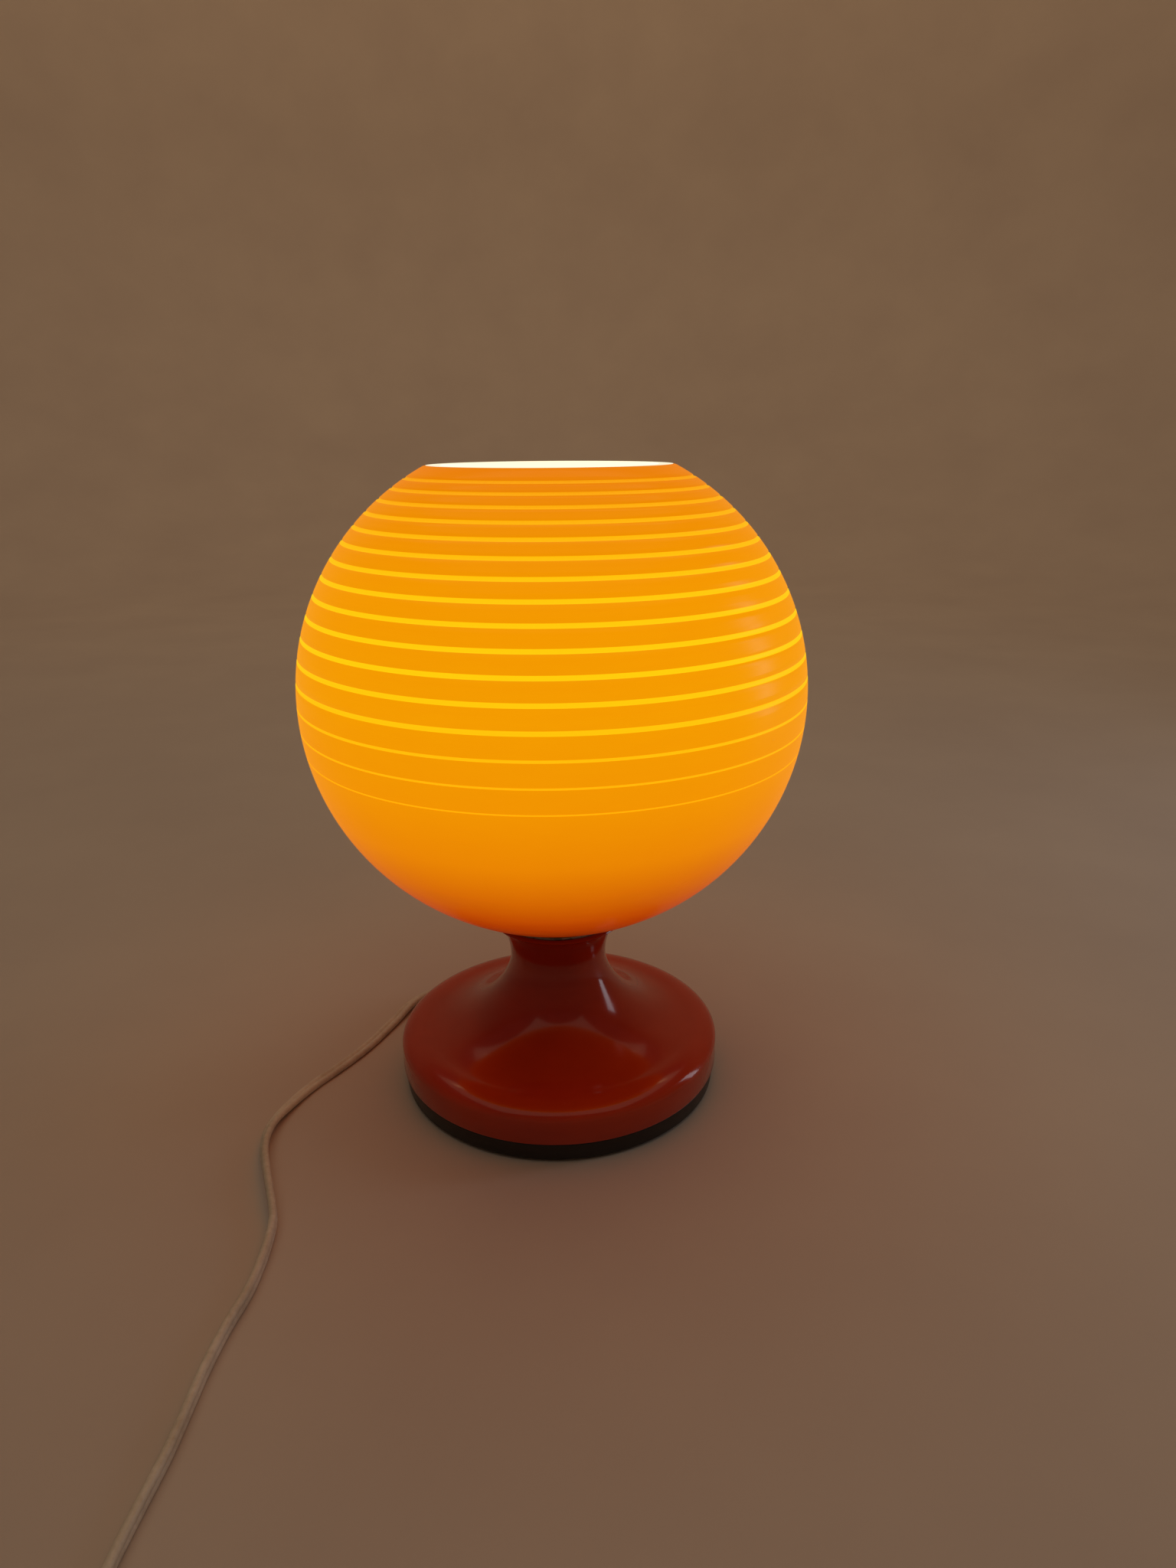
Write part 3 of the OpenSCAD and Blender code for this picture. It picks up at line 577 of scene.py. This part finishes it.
def make_switch():
    """The in-line switch: a two-part shell with its long edges well rounded, and the rocker in it."""
    low, high = (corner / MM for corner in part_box("switch_base"))
    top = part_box("switch_cover")[1].z / MM
    middle = (low + high) / 2
    corner_x, corner_y, corner_r = 23, 3, 9
    side_y, end_x = 12.5, 32.5
    same_level = 0.05

    def outer_rim(z):
        """Chooses the edges round the outside of the shell at one height, and none of its slots."""
        def chosen(point):
            off_x, off_y = abs(point.x - middle.x), abs(point.y - middle.y)
            in_corner = math.hypot(max(0, off_x - corner_x), max(0, off_y - corner_y)) > corner_r
            return abs(point.z - z) < same_level and (in_corner or off_y > side_y or off_x > end_x)
        return chosen

    base = dressed("switch_base", rounding=[(outer_rim(0), 1.6)])
    cover = dressed("switch_cover", rounding=[(outer_rim(top), 2.4)])
    rocker = dressed("switch_rocker", soft_edge=0.35)
    return [base, cover, rocker, dressed("rocker_pin"), dressed("switch_screws", soft_edge=0.1),
            frame["nodes"]["switch_contacts"]]


def make_plug():
    """The two-pin plug, its body well rounded as moulded ones are."""
    return [dressed("plug_body", soft_edge=1.3, segments=5), dressed("plug_pins", soft_edge=0.5)]


def make_flex():
    """The whole lead: from the foot to the switch, and on through the tied coil to the plug."""
    switch = make_switch()
    bush = dressed("cord_bush", soft_edge=0.25)
    lamp_side, lamp_line = flex("flex_to_switch", LAMP_ROUTE)
    stands_for(lamp_side, "flex_lamp_side")
    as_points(lamp_line)
    plug_side, plug_line = flex("flex_to_plug", PLUG_SIDE_ROUTE + coil_stops() + TAIL_ROUTE)
    stands_for(plug_side, "flex_plug_side", "flex_coil", "flex_tail")
    tie = dressed("coil_tie", soft_edge=0.4)
    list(make_plug())
    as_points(plug_line)


make_flex()


# --- globe shade ---------------------------------------------------------------------------------
def globe_point(angle, cut=0.0):
    """A point on the outside of the globe, angle degrees above its widest ring."""
    turn = math.radians(angle)
    return ((GLOBE_R - cut) * math.cos(turn), GLOBE_Z + (GLOBE_R * GLOBE_SQUASH - cut) * math.sin(turn))


def inner_globe_point(angle):
    """The same on the inside."""
    turn = math.radians(angle)
    return ((GLOBE_R - GLOBE_WALL) * math.cos(turn),
            GLOBE_Z + (GLOBE_R * GLOBE_SQUASH - GLOBE_WALL) * math.sin(turn))


def line_angle(k):
    """Where line k runs, counted from the mouth down, in degrees above the widest ring."""
    return TOP_LINE_ANGLE - LINE_GAP * k - LINE_GAP_GROWTH * k * k


def half_line(k):
    """Half the width of line k, in degrees."""
    return math.degrees(LINE_WIDTHS[k] / GLOBE_R) / 2


def rise(angle_from, angle_to, steps, point=globe_point):
    """Points from one angle up or down to the next, without the last one."""
    return [point(angle_from + (angle_to - angle_from) * i / steps) for i in range(steps)]


def shade_outline():
    """The outside from the hole up over the lines, the ground rim, and the inside down again."""
    mouth_z = SHADE_HIGH.z
    outer_b = GLOBE_R * GLOBE_SQUASH
    inner_b = GLOBE_R * GLOBE_SQUASH - GLOBE_WALL
    mouth = math.degrees(math.asin((mouth_z - GLOBE_Z) / outer_b))
    mouth_inner = math.degrees(math.asin((mouth_z - GLOBE_Z) / inner_b))
    seat = -math.degrees(math.asin((GLOBE_Z - HOLE_LOW_Z) / outer_b))
    seat_inner = -math.degrees(math.asin((GLOBE_Z - HOLE_HIGH_Z) / inner_b))
    outer_ease, inner_ease = 0.4, 0.6
    steps_below, steps_between, steps_inside = 30, 3, 60
    groove = ((-1, 0), (-0.8, 0.8), (-0.4, 1), (0.4, 1), (0.8, 0.8))
    outline = [(HOLE_R, HOLE_LOW_Z)]
    reached = seat
    for k in reversed(range(LINE_COUNT)):
        angle, half = line_angle(k), half_line(k)
        outline += rise(reached, angle - half, steps_below if reached == seat else steps_between)
        outline += [globe_point(angle + share * half, depth * LINE_DEPTH) for share, depth in groove]
        reached = angle + half
    outline += rise(reached, mouth - outer_ease, steps_between)
    outline += [globe_point(mouth - outer_ease), (MOUTH_R - RIM_EASE, mouth_z)]
    outline += [(inner_globe_point(mouth_inner)[0] + RIM_EASE, mouth_z)]
    outline += rise(mouth_inner - inner_ease, seat_inner, steps_inside, inner_globe_point)
    return outline + [inner_globe_point(seat_inner), (HOLE_R, HOLE_HIGH_Z), (HOLE_R, HOLE_LOW_Z)]


def make_shade():
    """The shade, amber outside, with the lit lines and the opal inside as two more finishes."""
    shade = stands_for(turned("shade_glass", shade_outline(), steps=192, angle=50), "shade")
    shade.data.materials.append(cut_line())
    shade.data.materials.append(opal_inside())
    line_slot, opal_slot = 1, 2
    casing = 1.0
    lit_share = 0.97
    for face in shade.data.polygons:
        centre = face.center / MM
        radius = math.hypot(centre.x, centre.y)
        up = centre.z - GLOBE_Z
        depth = 1 - math.hypot(radius / GLOBE_R, up / (GLOBE_R * GLOBE_SQUASH))
        angle = math.degrees(math.atan2(up / GLOBE_SQUASH, radius))
        if depth * GLOBE_R > casing:
            face.material_index = opal_slot
        elif any(abs(angle - line_angle(k)) < half_line(k) * lit_share for k in range(LINE_COUNT)):
            face.material_index = line_slot


# --- glass foot ----------------------------------------------------------------------------------
def shoulder(wall, angle):
    """The rounded shoulder of the drum, outside or one wall in, angle degrees up from its side."""
    turn = math.radians(angle)
    under = CREST_THINNING if wall else 0
    return (CREST_R + (DRUM_R - CREST_R - wall) * math.cos(turn),
            DRUM_TOP_Z + (CREST_Z - DRUM_TOP_Z - wall + under) * math.sin(turn))


def dish(wall, angle):
    """The dished sweep from the waist, at 0 degrees, out to the crest, at 90."""
    turn = math.radians(angle)
    under = CREST_THINNING if wall else 0
    across, down = math.cos(turn) ** (2 / DISH_POWER), math.sin(turn) ** (2 / DISH_POWER)
    return (CREST_R - (CREST_R - WAIST_R + wall) * across,
            WAIST_Z - (WAIST_Z - CREST_Z + wall - under) * down)


def cup(angle):
    """The flare above the waist."""
    turn = math.radians(angle)
    return (CUP_R - (CUP_R - WAIST_R) * math.cos(turn), WAIST_Z + CUP_RISE * math.sin(turn))


def foot_outline():
    """Drum, rounded shoulder, dished top, waist and flared cup, then the inside back down."""
    quarter = [90 * i / 24 for i in range(25)]
    edge = 1.0
    cup_turn = 84
    outside = [(DRUM_R - edge, RING_SEAT_Z), (DRUM_R - 0.3 * edge, RING_SEAT_Z + 0.3 * edge),
               (DRUM_R, RING_SEAT_Z + edge)]
    outside += [shoulder(0, a) for a in quarter]
    outside += [dish(0, 90 - 90 * i / 48) for i in range(1, 49)]
    outside += [cup(cup_turn * i / 24) for i in range(1, 25)]
    lip = [(CUP_R - 0.4, CUP_Z - 0.5), (CUP_R - 0.7, CUP_Z - 0.1), (CUP_R - 1.2, CUP_Z),
           (WAIST_R - FOOT_WALL, CUP_Z)]
    inside = [dish(FOOT_WALL, a) for a in quarter[1:]] + [shoulder(FOOT_WALL, 90 - a) for a in quarter]
    return outside + lip + inside + [(DRUM_R - FOOT_WALL, RING_SEAT_Z), (DRUM_R - edge, RING_SEAT_Z)]


def make_foot():
    """The glass foot and what it stands on."""
    stands_for(turned("foot_glass", foot_outline(), steps=192, angle=40), "base_body")
    dressed("foot_ring", soft_edge=0.3)
    dressed("foot_pads", soft_edge=0.4)
    dressed("bottom_plate", soft_edge=0.2)


# --- lampholder, bulb and what clamps them -------------------------------------------------------
def ridged(radius, low, high, pitch, depth):
    """An outline up a threaded wall, as a ridge every pitch."""
    ridge = ((1, 0), (0.4, 0.2), (0, 0.4), (0, 0.6), (0.4, 0.8))
    count = math.floor((high - low) / pitch)
    points = []
    for i in range(count):
        z = low + i * pitch
        points += [(radius - depth * sunk, z + pitch * up) for sunk, up in ridge]
    return points + [(radius - depth, low + count * pitch)]


def make_lampholder():
    """The threaded skirt of the lampholder, and the clamped stack that seats the shade."""
    low, high = (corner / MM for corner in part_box("holder_skirt"))
    radius, lip_r, bore_r = high.x, 17.0, 17.7
    wall = [(radius - 0.4, low.z), (radius, low.z + 0.4), (radius, low.z + 1.5)]
    wall += ridged(radius, low.z + 2, high.z - 3, pitch=2.5, depth=0.6)
    wall += [(radius, high.z - 2.5), (radius, high.z - 0.5), (radius - 0.5, high.z),
             (lip_r + 0.5, high.z), (lip_r, high.z - 0.5), (lip_r, high.z - 2), (bore_r, high.z - 2),
             (bore_r, low.z), (radius - 0.4, low.z)]
    stands_for(turned("holder_skirt_threaded", wall, steps=96), "holder_skirt")
    dressed("holder_insert", soft_edge=0.4)
    dressed("shade_ring", soft_edge=0.3)
    for node in ("holder_cap", "upper_gasket", "lower_gasket", "tube_nuts", "tube_washers", "seat_disc"):
        dressed(node)


def bulb_outline():
    """The ball, drawn into the neck with a soft S, and closed under the cap."""
    low, high = (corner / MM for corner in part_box("bulb_glass"))
    ball_r = high.x
    ball_z = high.z - ball_r
    neck_r, neck_rise, pull = 12.2, 17, 16
    leave = -38
    turns = [math.radians(90 - (90 - leave) * i / 40) for i in range(41)]
    ball = [(ball_r * math.cos(turn), ball_z + ball_r * math.sin(turn)) for turn in turns]
    start, end = ball[-1], (neck_r, low.z + neck_rise)
    lean = math.radians(leave)
    first = (start[0] + pull * math.sin(lean), start[1] - pull * math.cos(lean))
    second = (end[0], end[1] + pull)
    handles = (start, first, second, end)
    neck = []
    for i in range(1, 21):
        u = i / 20
        weights = ((1 - u) ** 3, 3 * u * (1 - u) ** 2, 3 * u * u * (1 - u), u ** 3)
        neck.append(tuple(sum(w * handle[k] for w, handle in zip(weights, handles)) for k in (0, 1)))
    return [(0, high.z)] + ball[1:] + neck + [(neck_r, low.z + 1), (neck_r - 1, low.z), (0, low.z)]


def make_bulb():
    """The pearl bulb and its threaded cap."""
    stands_for(turned("bulb_pearl_glass", bulb_outline(), steps=96), "bulb_glass")
    low, high = (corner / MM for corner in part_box("bulb_cap"))
    hole_r = 9.4
    wall = [(hole_r, low.z), (11.4, low.z), (12.5, low.z + 1.2)]
    wall += ridged(high.x, low.z + 2, high.z - 4, pitch=3.6, depth=0.5)
    wall += [(12.7, high.z - 2), (13.05, high.z - 0.8), (12.9, high.z), (12.5, high.z),
             (12.4, low.z + 1.6), (hole_r, low.z + 1.4), (hole_r, low.z)]
    stands_for(turned("bulb_cap_threaded", wall, steps=96), "bulb_cap")


make_shade()
make_foot()
make_lampholder()
make_bulb()
# What no finished piece replaces keeps its CAD shape and gets its finish.
for node_name, node_object in frame["nodes"].items():
    if not node_object.hide_render:
        node_object.data.materials.clear()
        node_object.data.materials.append(FINISHES[SLOT_OF[node_name]])


# --- floor, backdrop and light -------------------------------------------------------------------
def make_stage():
    """A pale round floor that sweeps up into a pale wall on every side."""
    floor_r, sweep_r, wall_z = 1600, 1000, 2400
    sweep = [math.radians(90 * i / 24) for i in range(1, 25)]
    outline = [(0, 0), (400, 0), (floor_r, 0)]
    outline += [(floor_r + sweep_r * math.sin(a), sweep_r * (1 - math.cos(a))) for a in sweep]
    stage = turned("floor", outline + [(floor_r + sweep_r, wall_z)], steps=96, angle=60)
    finish = Finish("pale_floor", Roughness=0.6, Specular_IOR_Level=0.3)
    cloud = finish.noise(6, detail=6)
    finish.feed(Base_Color=finish.ramp(cloud, (0.3, (0.60, 0.53, 0.49)), (0.7, (0.65, 0.58, 0.53))))
    stage.data.materials.append(finish.bump(finish.noise(300, detail=3), 0.03).material)


def soft_light(name, place, size, power, colour, aim=(0, 0, 0.1)):
    """A flat lamp of a size, in metres and watts, that faces the point aimed at."""
    light = bpy.data.objects.new(name, bpy.data.lights.new(name, "AREA"))
    bpy.context.scene.collection.objects.link(light)
    light.data.shape = "RECTANGLE"
    light.data.size, light.data.size_y = size
    light.data.energy = power
    light.data.color = colour
    light.matrix_world = (Matrix.Translation(place)
                          @ (Vector(aim) - Vector(place)).to_track_quat("-Z", "Y").to_matrix().to_4x4())


def make_world():
    """A dim warm light from all round."""
    world = bpy.data.worlds.new("room")
    world.use_nodes = True
    world.node_tree.nodes["Background"].inputs["Color"].default_value = (0.9, 0.8, 0.7, 1)
    world.node_tree.nodes["Background"].inputs["Strength"].default_value = 0.06
    bpy.context.scene.world = world


make_stage()
make_world()
soft_light("window", (0.9, 0.12, 0.30), (0.14, 0.5), 0.5, (0.88, 0.92, 1.0))
soft_light("overhead", (0, 0, 2.3), (3.2, 3.2), 10, (1.0, 0.76, 0.52))
soft_light("wall_wash", (0, 1.2, 2.2), (2.4, 0.6), 7, (1.0, 0.60, 0.28), (0, 2.5, 0.8))
